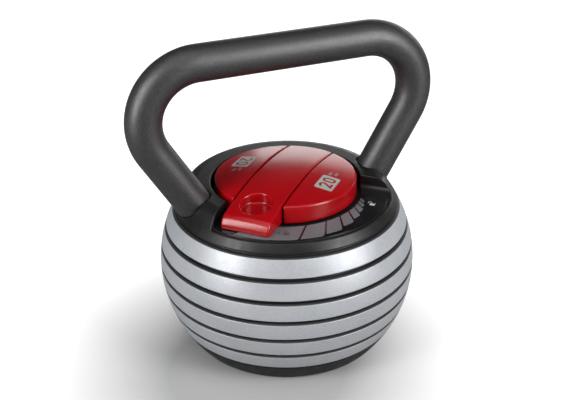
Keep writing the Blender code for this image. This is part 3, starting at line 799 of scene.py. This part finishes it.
def foot_ring():
    inner = FOOT_INNER_RADIUS + GAP
    outer = FOOT_OUTER_RADIUS - GAP
    pitch = (outer - inner) / FOOT_RIBS
    corners = [(inner, FOOT_HEIGHT, 0.0002), (outer, FOOT_HEIGHT, 0.0002), (outer, 0.0, 0.0004)]
    for rib in range(1, FOOT_RIBS):
        edge = outer - rib * pitch
        corners += [
            (edge + RIB_GROOVE, 0.0, 0.0004),
            (edge + RIB_GROOVE, RIB_GROOVE, 0.0002),
            (edge, RIB_GROOVE, 0.0002),
            (edge, 0.0, 0.0004),
        ]
    corners.append((inner, 0.0, 0.0004))
    ring = revolve("foot_ring_rubber", corners, PLATE_SEGMENTS)
    smooth(ring)
    piece(ring, "bell", ["foot_ring"], RUBBER)


# Handle

def handle_route():
    """Centreline points and directions, from the right foot to the left."""
    leg_length = (BEND_START_X - FOOT_X) / math.sin(LEG_ANGLE)
    up = np.array((math.sin(LEG_ANGLE), math.cos(LEG_ANGLE)))
    foot = np.array((FOOT_X, FOOT_Z))
    steps = round(leg_length / TUBE_STEP)
    points = [foot + up * leg_length * step / steps for step in range(steps)]
    directions = [up] * steps
    start = foot + up * leg_length
    centre = start + np.array((-math.cos(LEG_ANGLE), math.sin(LEG_ANGLE))) * BEND_RADIUS
    sweep = math.pi / 2 + LEG_ANGLE
    steps = round(BEND_RADIUS * sweep / TUBE_STEP)
    for step in range(steps + 1):
        turn = -LEG_ANGLE + sweep * step / steps
        points.append(centre + np.array(polar(BEND_RADIUS, turn)))
        directions.append(np.array(polar(1.0, turn + math.pi / 2)))
    half_bar = points[-1][0]
    steps = round(half_bar / 0.006)
    for step in range(1, steps + 1):
        points.append(np.array((half_bar * (1 - step / steps), points[-1][1])))
        directions.append(np.array((-1.0, 0.0)))
    mirror = np.array((-1.0, 1.0))
    points += [point * mirror for point in reversed(points[:-1])]
    directions += [d * np.array((1.0, -1.0)) for d in reversed(directions[:-1])]
    return np.array(points), np.array(directions)


def handle_tube():
    """Rings along the outside, round each rounded end, and back along the bore."""
    points, directions = handle_route()
    last = len(points) - 1
    quarter = [math.pi / 2 * n / 4 for n in range(5)]

    def end_rings(index, way):
        """Rings from the outside to the bore at one end, as (index, radius, shift, lean)."""
        rings = [(index, TUBE_RADIUS - TUBE_EDGE * (1 - math.cos(turn)),
                  -way * TUBE_EDGE * (1 - math.sin(turn)), (math.cos(turn), way * math.sin(turn)))
                 for turn in quarter]
        rings.append((index, TUBE_BORE + TUBE_EDGE / 2, 0.0, (0.0, way)))
        rings.append((index, TUBE_BORE, -way * TUBE_EDGE / 2, (-1.0, 0.0)))
        return rings

    rings = [(n, TUBE_RADIUS, 0.0, (1.0, 0.0)) for n in range(1, last)]
    rings += end_rings(last, 1.0)
    rings += [(n, TUBE_BORE, 0.0, (-1.0, 0.0)) for n in range(last - 1, 0, -1)]
    rings += reversed(end_rings(0, -1.0))
    turns = np.arange(TUBE_SIDES) * math.tau / TUBE_SIDES
    places, normals = [], []
    for index, radius, shift, (out, forward) in rings:
        direction = directions[index]
        centre = points[index] + direction * shift
        side = np.array((direction[1], 0.0, -direction[0]))
        spoke = np.cos(turns)[:, None] * side + np.sin(turns)[:, None] * np.array((0.0, 1.0, 0.0))
        places.append(np.array((centre[0], 0.0, centre[1])) + spoke * radius)
        normals.append(spoke * out + np.array((direction[0], 0.0, direction[1])) * forward)
    places, normals = np.concatenate(places), np.concatenate(normals)
    index = np.arange(len(places)).reshape(-1, TUBE_SIDES)
    after = np.roll(index, -1, 0)
    faces = np.stack([index, after, np.roll(after, -1, 1), np.roll(index, -1, 1)], -1)
    faces = facing(faces.reshape(-1, 4), places, normals)
    tube = mesh_object("handle_grip_tube", places, faces, normals)
    piece(tube, "bell", ["handle_tube"], GRIP)


# Top cover

def leg_frame(side, x, y, z):
    """Distance up a leg's axis from its foot, and distance from that axis."""
    run_x, run_z = side * math.sin(LEG_ANGLE), math.cos(LEG_ANGLE)
    from_x, from_z = x - side * FOOT_X, z - FOOT_Z
    up = from_x * run_x + from_z * run_z
    off = np.hypot(np.hypot(from_x - up * run_x, from_z - up * run_z), y)
    return up, off


def cover_distance(x, y, z):
    low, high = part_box("top_cover")
    bottom, crest = low.z, high.z
    roof = crest - COVER_ROOF
    radius = np.hypot(x, y)
    along, across = dial_axes(x, y)
    ball = np.hypot(radius, z - BALL_CENTRE_Z) - BALL_RADIUS
    solid = cut_round(ball, z - crest, CREST_EDGE)
    solid = cut_round(solid, bottom - z, 0.0005)
    recess = cut_round(radius - RECESS_RADIUS, FLOOR_Z - z, 0.0008)
    solid = cut_round(solid, -recess, CREST_LIP)
    rise = RAMP_RISE / (RAMP_START - WELL_BACK)
    ground = WELL_FLOOR_Z + rise * np.clip(RAMP_START - along, 0.0, RAMP_START - WELL_BACK)
    well = cut_round(WELL_BACK - along, ground - z, WELL_FILLET)
    well = cut_round(well, WELL_SIDE - across, 0.0010)
    solid = cut_round(solid, -well, 0.0008)
    groove_in, groove_out = LIP_GROOVE
    width = (groove_out - groove_in) * np.clip((along - RAMP_START) / LIP_GROOVE_FADE, 0.0, 1.0)
    groove = cut_sharp(groove_in - radius, radius - groove_in - width, WELL_SIDE - across,
                       RAMP_START - along, WELL_FLOOR_Z - LIP_GROOVE_DEPTH - z,
                       z - WELL_FLOOR_Z - 0.002)
    solid = cut_round(solid, -groove, 0.0003)
    below = np.maximum(radius - CHASSIS_ROOM, z - FLOOR_UNDERSIDE_Z)
    solid = cut_sharp(solid, -below, FLOOR_BORE - radius)
    turn = np.arctan2(y, x)
    core_in, core_out = CORE_RADII
    core = cut_sharp(core_in - radius, radius - core_out, (CORE_ANGLES[0] - turn) * core_out,
                     (turn - CORE_ANGLES[1]) * core_out, z - roof)
    for angle in COVER_POST_ANGLES:
        place = polar(COVER_SCREW_CIRCLE, angle)
        core = np.maximum(core, -rod(x, y, place, COVER_POST_RADIUS))
        hole = np.maximum(rod(x, y, place, SCREW_HOLE_RADIUS), z - roof)
        solid = np.maximum(solid, -hole)
    solid = np.maximum(solid, -core)
    for side, _ in SIDES:
        up, off = leg_frame(side, x, y, z)
        pad = np.maximum(cut_round(off - PAD_RADIUS, up + 2 * GAP, 0.0006), -PAD_DEPTH - up)
        pad = np.maximum(pad, FLOOR_UNDERSIDE_Z - z)
        solid = join_round(solid, pad, 0.0006)
        foot = np.maximum(off - TUBE_RADIUS - FOOT_ROOM, -GAP - up)
        solid = cut_round(solid, -foot, 0.0007)
        spigot = np.maximum(off - SPIGOT_RADIUS - 2 * GAP, -SPIGOT_REACH - up)
        solid = np.maximum(solid, -spigot)
    return solid


def top_cover():
    low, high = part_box("top_cover")
    degrees = spread(-170.0, (-162.5, 0.5), (-148.0, 0.25), (-34.0, 1.5), (-16.0, 0.25),
                     (15.0, 0.6), (165.0, 1.5), (190.0, 0.6))[:-1]
    radii = spread(FLOOR_BORE - 0.0016, (0.0662, 0.0032), (0.0700, 0.00038), (0.0920, 0.0010),
                   (0.0980, 0.00030), (BALL_RADIUS, 0.0009), (BALL_RADIUS + 0.0012, 0.0006))
    heights = spread(low.z - 0.0008, (0.1407, 0.0006), (0.1434, 0.00022), (0.1535, 0.00075),
                     (high.z + 0.0006, 0.00040))

    def placed(turn, radius, height):
        return radius * np.cos(turn), radius * np.sin(turn), height

    grid = [np.radians(degrees), radii, heights]
    cover = skin("cover_moulding", cover_distance, grid, placed, wrap=True)
    piece(cover, "bell", ["top_cover"], COVER_BLACK)


# Dial

def dome_height(radius):
    return DIAL_TOP_Z - DIAL_DROP * (radius / DIAL_RADIUS) ** 2


def hollow_below(solid, inside, x, y, z, radius, posts):
    """Core a crowned shell out from below, round its screw posts."""
    hollow = np.maximum(inside, z - dome_height(radius) + SHELL_THICKNESS)
    along, across = dial_axes(x, y)
    for post in posts:
        hollow = np.maximum(hollow, -rod(along, across, post, DIAL_POST_RADIUS))
    room = np.maximum(radius - CARRIER_ROOM[0], z - CARRIER_ROOM[1])
    solid = np.maximum(solid, -np.minimum(hollow, room))
    for post in posts:
        hole = np.maximum(rod(along, across, post, SCREW_HOLE_RADIUS), z - DIAL_SCREW_TIP_Z)
        solid = np.maximum(solid, -hole)
    return solid


def lever_distance(x, y, z):
    radius = np.hypot(x, y)
    along, across = dial_axes(x, y)
    flare = ARM_FLARE * np.clip((along - ARM_HOLLOW_END) / (ARM_LENGTH - ARM_HOLLOW_END), 0, 1)
    half = GROOVE_CENTRE - GROOVE_WIDTH / 2
    side = np.abs(across) - half - flare
    back = np.where(along < 0, radius - DIAL_RADIUS, -DIAL_RADIUS)
    nose = cut_round(along - ARM_LENGTH, z - dome_height(radius), NOSE_EDGE)
    solid = cut_round(nose, side, LEVER_EDGE)
    solid = cut_round(solid, back, DIAL_EDGE * 0.8)
    solid = cut_round(solid, SKIRT_Z - z, 0.0004)
    away = np.hypot(along - FINGER_CENTRE, across)
    dish = FINGER_FLOOR_Z + FINGER_DISH * (away / FINGER_RADIUS) ** 2
    finger = cut_round(away - FINGER_RADIUS, dish - z, FINGER_FILLET)
    solid = cut_round(solid, -finger, 0.0011)
    inside = cut_sharp(np.abs(across) - half + SHELL_THICKNESS, along - ARM_HOLLOW_END,
                       back + SHELL_THICKNESS)
    return hollow_below(solid, inside, x, y, z, radius, [(-0.0400, 0.0), (0.0330, 0.0)])


def segment_distance(side):
    chord = GROOVE_CENTRE + GROOVE_WIDTH / 2
    posts = [(-0.0220, side * 0.0400), (0.0220, side * 0.0400)]

    def distance(x, y, z):
        radius = np.hypot(x, y)
        along, across = dial_axes(x, y)
        edge = chord - side * across
        solid = cut_round(z - dome_height(radius), edge, GROOVE_EDGE)
        solid = cut_round(solid, radius - DIAL_RADIUS, DIAL_EDGE)
        solid = cut_round(solid, SKIRT_Z - z, 0.0004)
        inside = np.maximum(edge, radius - DIAL_RADIUS) + SHELL_THICKNESS
        return hollow_below(solid, inside, x, y, z, radius, posts)

    return distance


def dial_covers():
    def placed(along, across, height):
        return (*from_dial(along, across), height)

    heights = spread(SKIRT_Z - 0.0006, (DIAL_TOP_Z + MOULD_SPARE, 0.00065))
    half = GROOVE_CENTRE - GROOVE_WIDTH / 2 + ARM_FLARE + MOULD_SPARE
    grid = [spread(-DIAL_RADIUS - MOULD_SPARE, (ARM_LENGTH + MOULD_SPARE, MOULD_GRID)),
            spread(-half, (half, MOULD_GRID)), heights]
    bar = skin("lever_moulding", lever_distance, grid, placed)
    piece(bar, "dial", ["lever_bar"], RED)
    chord = GROOVE_CENTRE + GROOVE_WIDTH / 2 - MOULD_SPARE
    reach = math.sqrt(DIAL_RADIUS ** 2 - chord ** 2) + MOULD_SPARE
    for _, label in SIDES:
        node = f"dial_segment_{label}"
        middle = sum(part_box(node), Vector()) / 2
        way = 1 if dial_axes(middle.x, middle.y)[1] > 0 else -1
        depth = spread(chord, (DIAL_RADIUS + MOULD_SPARE, MOULD_GRID)) * way
        grid = [spread(-reach, (reach, MOULD_GRID)), np.sort(depth), heights]
        cover = skin(f"dial_{label}_moulding", segment_distance(way), grid, placed)
        piece(cover, "dial", [node], RED)


# Marks on the dial

def stroke(route, width):
    """A ribbon of a width along a route, as a closed outline with mitred corners."""
    route = np.array(route, float)
    runs = np.diff(route, axis=0)
    runs /= np.linalg.norm(runs, axis=1, keepdims=True)
    across = np.stack([-runs[:, 1], runs[:, 0]], -1)
    before = np.concatenate([across[:1], across])
    after = np.concatenate([across, across[-1:]])
    mitre = (before + after) / (1.0 + np.einsum("ij,ij->i", before, after))[:, None]
    aside = mitre * width / 2
    return [tuple(p) for p in np.concatenate([route + aside, (route - aside)[::-1]])]


def turned(outline, centre, turn):
    """An outline turned, then moved to a centre."""
    turn_cos, turn_sin = math.cos(turn), math.sin(turn)
    return [(centre[0] + x * turn_cos - y * turn_sin, centre[1] + x * turn_sin + y * turn_cos)
            for x, y in outline]


def digit_two(height, width, weight):
    """The middle line of a numeral 2: hook, diagonal and foot."""
    radius = (width - weight) / 2
    top = height / 2 - weight / 2 - radius
    bottom = -height / 2 + weight / 2
    hook = arc(radius, math.radians(175), math.radians(-30), 12, (0.0, top))
    return [*hook, (-width / 2 + weight * 0.95, bottom), (width / 2, bottom)]


def round_box(width, height, radius):
    half_w, half_h = width / 2, height / 2
    return rounded([(-half_w, -half_h, radius), (half_w, -half_h, radius),
                    (half_w, half_h, radius), (-half_w, half_h, radius)])


def shifted(outline, x, y):
    return [(px + x, py + y) for px, py in outline]


def on_dome(thing, lift):
    """Cut a flat print into small cells and lay it on the crowned dial."""
    shape = bmesh.new()
    shape.from_mesh(thing.data)
    for axis in (Vector((1, 0, 0)), Vector((0, 1, 0))):
        spans = [vertex.co.dot(axis) for vertex in shape.verts]
        for place in np.arange(min(spans), max(spans), 0.0022)[1:]:
            parts = shape.verts[:] + shape.edges[:] + shape.faces[:]
            bmesh.ops.bisect_plane(shape, geom=parts, plane_co=axis * float(place),
                                   plane_no=axis, dist=1e-7)
    for vertex in shape.verts:
        vertex.co.z += dome_height(math.hypot(vertex.co.x, vertex.co.y)) + lift
    shape.to_mesh(thing.data)
    shape.free()


def dial_print(name, outlines, centre, turn, surface):
    """Print on the crowned dial, from outlines placed in the dial's own axes."""
    outlines = [[from_dial(*spot) for spot in turned(outline, centre, turn)]
                for outline in outlines]
    mark = flat_piece(name, outlines, -PRINT_THICKNESS / 2, PRINT_THICKNESS / 2)
    on_dome(mark, DIAL_PRINT_LIFT)
    piece(smooth(mark), "dial", [], surface)


def number_badges():
    """The 20 mark on each side cover: a plate with the digits left open."""
    width, height = DIGIT_SIZE
    step = (width + DIGIT_SPACE) / 2
    hole_width, hole_height = width - 2 * DIGIT_WEIGHT, height - 2 * DIGIT_WEIGHT
    two = stroke(digit_two(height, width, DIGIT_WEIGHT), DIGIT_WEIGHT)
    outlines = [
        round_box(*BADGE_SIZE, BADGE_CORNER),
        shifted(two, -step, 0.0),
        shifted(round_box(width, height, width * DIGIT_ROUNDING), step, 0.0),
        shifted(round_box(hole_width, hole_height, hole_width * DIGIT_ROUNDING), step, 0.0),
    ]
    for label, centre, turn in BADGE_PLACES:
        dial_print(f"number_badge_{label}", outlines, centre, turn, BADGE_GREY)
        for row, row_height in enumerate(TICK_ROW_HEIGHTS):
            for tick in range(3):
                x = BADGE_SIZE[0] / 2 + UNIT_GAP + (tick + row) * TICK_PITCH
                mark = shifted(round_box(*TICK_SIZE, 0.0003), x, row_height)
                name = f"unit_tick_{label}_{row + 1}_{tick + 1}"
                dial_print(name, [mark], centre, turn, FAINT_GREY)


# Scale

def scale_plate():
    """Glossy insert in the well, its outer corners rounded."""
    inner, outer = SCALE_RADII
    spare = 0.0006
    side = WELL_SIDE + spare
    end = RAMP_START + spare
    first = LOCK_ANGLE + math.asin(side / outer)
    last = LOCK_ANGLE + math.acos(end / outer)
    corners = [(*from_dial(math.sqrt(outer ** 2 - side ** 2), side), WELL_CORNER)]
    steps = 40
    corners += arc_between(outer, first, last, steps)
    corners.append((*from_dial(end, math.sqrt(outer ** 2 - end ** 2)), 0.0012))
    corners.append((*from_dial(end, math.sqrt(inner ** 2 - end ** 2)), 0.0008))
    first_in = LOCK_ANGLE + math.asin(side / inner)
    last_in = LOCK_ANGLE + math.acos(end / inner)
    corners += arc_between(inner, last_in, first_in, steps)
    corners.append((*from_dial(math.sqrt(inner ** 2 - side ** 2), side), 0.0008))
    outline = rounded(drop_near(corners))
    plate = flat_piece("scale_insert", [outline], WELL_FLOOR_Z - 0.00005, SCALE_TOP_Z, 0.00018)
    smooth(plate)
    piece(plate, "bell", [], GLOSS_BLACK)


def drop_near(corners):
    """Leave out plain arc points that lie within reach of a corner that is to be rounded."""
    sharp = [corner for corner in corners if corner[2] > 0]
    return [(x, y, radius) for x, y, radius in corners
            if radius > 0 or all(math.dist((x, y), s[:2]) >= s[2] * 1.3 for s in sharp)]


def scale_print(name, outline, bottom, thickness, surface, edge=0.0):
    mark = flat_piece(name, [outline], bottom, bottom + thickness, edge)
    piece(smooth(mark), "bell", [], surface)


def scale_blocks():
    """A row of printed blocks that shrink with the turn, the lines between them leaning back."""
    borders = [BLOCK_FIRST_TURN, BLOCK_LOCK_END]
    for number in range(BLOCK_COUNT - 1):
        borders.append(borders[-1] + BLOCK_STEP * BLOCK_SHRINK ** number)
    leans = [BLOCK_LEAN + BLOCK_LEAN_GROWTH * max(0, number - 1) for number in range(len(borders))]

    def border(number, radius, side):
        """A point beside a line between blocks, half its width before or after it."""
        half = BLOCK_SEPARATOR / 2 * (1 - 0.05 * number)
        turn = borders[number] - leans[number] * (radius - BLOCK_INNER_RADIUS)
        return turn + side * half / radius

    for number, outer in enumerate(BLOCK_OUTER_RADII):
        depth = outer - BLOCK_INNER_RADIUS
        corner = min(0.0048, depth * 0.26)
        small = 0.0004 if number else 0.0
        start, end = border(number, outer, 1), border(number + 1, outer, -1)
        steps = max(2, round((end - start) / math.radians(2)))
        corners = [(*polar(outer, start), small)]
        corners += arc_between(outer, start, end, steps)
        corners.append((*polar(outer, end), corner))
        start = border(number + 1, BLOCK_INNER_RADIUS, -1)
        end = border(number, BLOCK_INNER_RADIUS, 1)
        corners.append((*polar(BLOCK_INNER_RADIUS, start), 0.0004))
        corners += arc_between(BLOCK_INNER_RADIUS, start, end, steps)
        corners.append((*polar(BLOCK_INNER_RADIUS, end), small))
        scale_print(f"scale_block_{number + 1}", rounded(drop_near(corners)),
                    SCALE_TOP_Z - PRINT_SINK, PRINT_THICKNESS, SCALE_SILVER, 0.00003)


def padlock(size, opened):
    """A padlock mark: a body, and a shackle that is shut or swung to one side."""
    body = shifted(round_box(size, size * 0.80, size * 0.10), 0.0, -size * 0.32)
    leg = size * 0.31
    swing = size * 0.62 if opened else 0.0
    lift = size * 0.06 if opened else 0.0
    route = [(-leg - swing, size * 0.02 + lift)]
    route += arc(leg, math.pi, 0.0, 10, (-swing, size * 0.24 + lift))
    route += [(leg - swing, size * 0.02)]
    return [body, stroke(route, size * 0.17)]


def scale_marks():
    """An arrow and a shut padlock at the scale's first end, an open padlock at its last."""
    shut_size, open_size = PADLOCK_SIZES
    radius, turn = LOCK_MARK
    lean = turn + math.pi / 2
    shut_place = polar(radius, turn + PADLOCK_TURN)
    outlines = [turned(ARROW, polar(radius, turn), lean)]
    outlines += [turned(outline, shut_place, lean) for outline in padlock(shut_size, False)]
    bottom = SCALE_TOP_Z + PRINT_THICKNESS - LEGEND_SINK
    for number, outline in enumerate(outlines, start=1):
        scale_print(f"lock_mark_{number}", outline, bottom, LEGEND_THICKNESS, LEGEND_DARK)
    radius, turn = UNLOCK_MARK
    for number, outline in enumerate(padlock(open_size, True), start=1):
        scale_print(f"unlock_mark_{number}", turned(outline, polar(radius, turn), turn),
                    SCALE_TOP_Z - PRINT_SINK, PRINT_THICKNESS, MARK_WHITE)


# Stage, lights and camera

CAMERA_PLACE = (-0.3097, -0.7634, 0.5586)
CAMERA_AIM = (-0.0008, 0.0003, 0.1328)
CAMERA_ROLL = math.radians(-0.884)
CAMERA_LENS = 64.03
LIGHT_AIM = (0.0, 0.0, 0.10)
LIGHTS = (                 # name, azimuth, elevation, distance, size, power
    ("top_box", -5, 70, 1.7, (1.8, 1.8), 12),
    ("left_box", -54, 22, 1.6, (0.45, 1.4), 26),
    ("right_box", 57, 24, 1.6, (0.60, 1.3), 29),
    ("back_wall", 158, 11, 2.6, (2.6, 1.0), 19),
)
SKY_COLOUR = (0.93, 0.96, 1.0, 1.0)
SKY_FADE = (0.02, 0.34, 0.20, 0.03)      # lowest, highest, and the strength at each
FLOOR_SIZE = 12.0
# painted shade: the bell sees a darker copy of the floor than the camera does
FLOOR_BOUNCE = 0.32                      # how light the floor is, as the bell sees it
# painted light: the floor glows to the camera, from none near the bell's foot to full far off,
# which leaves a painted shadow round the foot
FLOOR_GLOW = (0.08, 0.24, 0.0, 1.0)      # nearest, farthest, and the glow at each
# the centre of that painted shadow
FLOOR_SHADOW_CENTRE = (-0.055, -0.06, 0.0)


def floor():
    """Pale floor that glows to the camera away from a painted shadow round the bell's foot; what
    the bell sees of it is a darker copy, painted shade.
    """
    look = Look("pale_floor", (0.66, 0.66, 0.66), 0.85)
    patch = look.mottle(0.5, 2.0, 0.3, 0.7)
    seen = look.blend(patch, (0.365, 0.365, 0.366), (0.375, 0.375, 0.375))
    direct = look.add("LightPath").outputs["Is Camera Ray"]
    # painted shade: rays from the bell get the darker FLOOR_BOUNCE colour
    look.feed("Base Color", look.blend(direct, (FLOOR_BOUNCE,) * 3, seen))
    look.set("Specular IOR Level", 0.0)
    look.set("Emission Color", (1.0, 1.0, 1.0, 1.0))
    # emission for camera rays only: the painted glow and the painted shadow
    glow = look.add("Math", operation="MULTIPLY")
    away = look.add("VectorMath", operation="DISTANCE")
    away.inputs[1].default_value = FLOOR_SHADOW_CENTRE
    look.link(look.place, away.inputs[0])
    look.link(direct, glow.inputs[0])
    look.link(look.ramp(away.outputs["Value"], *FLOOR_GLOW), glow.inputs[1])
    look.feed("Emission Strength", glow.outputs[0])
    reach = FLOOR_SIZE / 2
    corners = [(-reach, -reach, 0), (reach, -reach, 0), (reach, reach, 0), (-reach, reach, 0)]
    thing = mesh_object("floor", corners, [(0, 1, 2, 3)])
    thing.data.materials.append(look.surface)


def softbox(name, azimuth, elevation, distance, size, power):
    """A light aimed at the ball; its azimuth is counted from the camera, + to its right."""
    light = bpy.data.lights.new(name, "AREA")
    light.shape = "RECTANGLE"
    light.size, light.size_y = size
    light.energy = power
    turn = math.atan2(CAMERA_PLACE[1], CAMERA_PLACE[0]) + math.radians(azimuth)
    level = distance * math.cos(math.radians(elevation))
    height = distance * math.sin(math.radians(elevation))
    thing = placed_object(name, light)
    thing.location = Vector(LIGHT_AIM) + Vector((*polar(level, turn), height))
    thing.rotation_euler = (Vector(LIGHT_AIM) - thing.location).to_track_quat("-Z", "Y").to_euler()


def stage():
    floor()
    world = bpy.data.worlds.new("studio")
    world.use_nodes = True
    nodes, links = world.node_tree.nodes, world.node_tree.links
    background = nodes["Background"]
    split = nodes.new("ShaderNodeSeparateXYZ")
    links.new(nodes.new("ShaderNodeTexCoord").outputs["Generated"], split.inputs[0])
    fade = nodes.new("ShaderNodeMapRange")
    set_range(fade, *SKY_FADE)
    links.new(split.outputs["Z"], fade.inputs["Value"])
    links.new(fade.outputs["Result"], background.inputs["Strength"])
    background.inputs["Color"].default_value = SKY_COLOUR
    bpy.context.scene.world = world
    for light in LIGHTS:
        softbox(*light)
    camera = placed_object("camera", bpy.data.cameras.new("camera"))
    camera.data.lens = CAMERA_LENS
    camera.location = CAMERA_PLACE
    aim = (Vector(CAMERA_AIM) - Vector(CAMERA_PLACE)).to_track_quat("-Z", "Y")
    camera.rotation_mode = "QUATERNION"
    camera.rotation_quaternion = aim @ Quaternion((0.0, 0.0, 1.0), CAMERA_ROLL)
    bpy.context.scene.camera = camera
    bpy.context.scene.view_settings.view_transform = "Standard"


def dress_frame():
    """Materials for the CAD nodes that stay."""
    for name, node in NODES.items():
        if not node.hide_render:
            node.data.materials.clear()
            node.data.materials.append(COVER_BLACK if name == "dial_carrier" else STEEL)


for plate_number in range(1, PLATE_COUNT + 1):
    weight_plate(plate_number)
base_tray()
foot_ring()
handle_tube()
top_cover()
scale_plate()
scale_blocks()
scale_marks()
dial_covers()
number_badges()
dress_frame()
stage()
